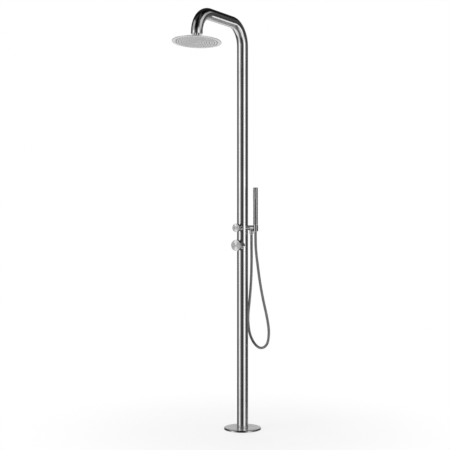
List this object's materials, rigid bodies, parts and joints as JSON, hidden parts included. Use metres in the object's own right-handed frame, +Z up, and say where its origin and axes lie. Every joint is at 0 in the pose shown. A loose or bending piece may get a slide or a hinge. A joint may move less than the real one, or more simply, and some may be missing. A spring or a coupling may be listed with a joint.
{
  "type": "outdoor shower post",
  "caption": "Floor-standing outdoor shower: bent tube post with a rain head on a ball joint, a mixing knob, a diverter knob and a hand shower on a hose in a side holder.",
  "frame": {"origin": "on the post's axis at the underside of the floor flange", "axes": "+Z up along the post, -Y along the arm and towards the knobs, +X towards the hand shower"},
  "size_m": [0.28, 0.6711, 2.2149],
  "materials": {
    "brushed_steel": "satin, fine brushing along the tube",
    "turned_steel": "fine turned rings on the faces",
    "pipe_steel": "plain drawn",
    "brass": "machined",
    "seal_rubber": "matt black",
    "nozzle_silicone": "soft grey",
    "ceramic": "lapped white ceramic",
    "white_plastic": "moulded",
    "grey_hose": "smooth silver-grey sleeve"
  },
  "bodies": {
    "post": {"post_tube": "brushed_steel", "floor_flange": "brushed_steel", "mixer_sleeve": "brushed_steel", "diverter_sleeve": "brushed_steel", "bracket_arm": "brushed_steel", "holder_ring": "brushed_steel", "hose_nut": "brushed_steel", "hose_ferrule": "brushed_steel", "arm_end_plug": "brushed_steel", "ball_connector": "brushed_steel", "cold_supply_pipe": "pipe_steel", "hot_supply_pipe": "pipe_steel", "link_pipe": "pipe_steel", "outlet_pipe": "pipe_steel", "mixer_body": "brass", "diverter_body": "brass", "cold_union": "brass", "hot_union": "brass", "mixer_ring_nut": "brass", "diverter_ring_nut": "brass", "outlet_nipple": "brass", "mixer_seal": "seal_rubber", "diverter_seal": "seal_rubber", "outlet_washer": "seal_rubber", "mixer_fixed_disc": "ceramic", "diverter_fixed_disc": "ceramic", "mixer_cartridge": "white_plastic", "diverter_cartridge": "white_plastic", "pipe_spacers": "white_plastic", "check_valve": "white_plastic", "head_filter": "white_plastic", "riser_hose": "white_plastic", "hose": "grey_hose"},
    "base_cover": {"base_cover": "brushed_steel"},
    "mixer_knob": {"mixer_knob": "turned_steel", "mixer_grub_screw": "pipe_steel", "mixer_spindle": "brass", "mixer_turning_disc": "ceramic"},
    "diverter_knob": {"diverter_knob": "turned_steel", "diverter_grub_screw": "pipe_steel", "diverter_spindle": "brass", "diverter_turning_disc": "ceramic"},
    "head_swivel": {"ball_seat_ring": "white_plastic"},
    "rain_head": {"head_collar": "brushed_steel", "head_top_shell": "brushed_steel", "head_face_plate": "brushed_steel", "head_nozzles": "nozzle_silicone", "head_centre_screw": "brushed_steel"},
    "hose_end": {"hose_cone_nut": "brushed_steel", "cone_washer": "seal_rubber"},
    "handset": {"handset_nipple": "brass", "handset_body": "brushed_steel", "handset_cap": "brushed_steel", "handset_spray_plate": "turned_steel", "handset_nozzles": "nozzle_silicone"}
  },
  "joints": [
    {"name": "base_cover_slide", "type": "slide", "parent": "post", "child": "base_cover", "axis": [0, 0, 1], "range_m": [0, 0.25]},
    {"name": "mixer_turn", "type": "hinge", "parent": "post", "child": "mixer_knob", "pos_m": [0, -0.06, 0.996], "axis": [0, -1, 0], "range_deg": [0, 130]},
    {"name": "diverter_turn", "type": "hinge", "parent": "post", "child": "diverter_knob", "pos_m": [0, -0.06, 1.09], "axis": [0, 1, 0], "range_deg": [0, 90]},
    {"name": "head_tilt_fore", "type": "hinge", "parent": "post", "child": "head_swivel", "pos_m": [0, -0.445, 2.043], "axis": [1, 0, 0], "range_deg": [-8, 16]},
    {"name": "head_tilt_side", "type": "hinge", "parent": "head_swivel", "child": "rain_head", "pos_m": [0, -0.445, 2.043], "axis": [0, 1, 0], "range_deg": [-12, 12]},
    {"name": "handset_lift", "type": "slide", "parent": "post", "child": "hose_end", "axis": [0, 0, 1], "range_m": [0, 0.12], "deforming": ["hose"]},
    {"name": "handset_turn", "type": "hinge", "parent": "hose_end", "child": "handset", "pos_m": [0.0815, 0, 1.107], "axis": [0, 0, 1], "continuous": true}
  ]
}
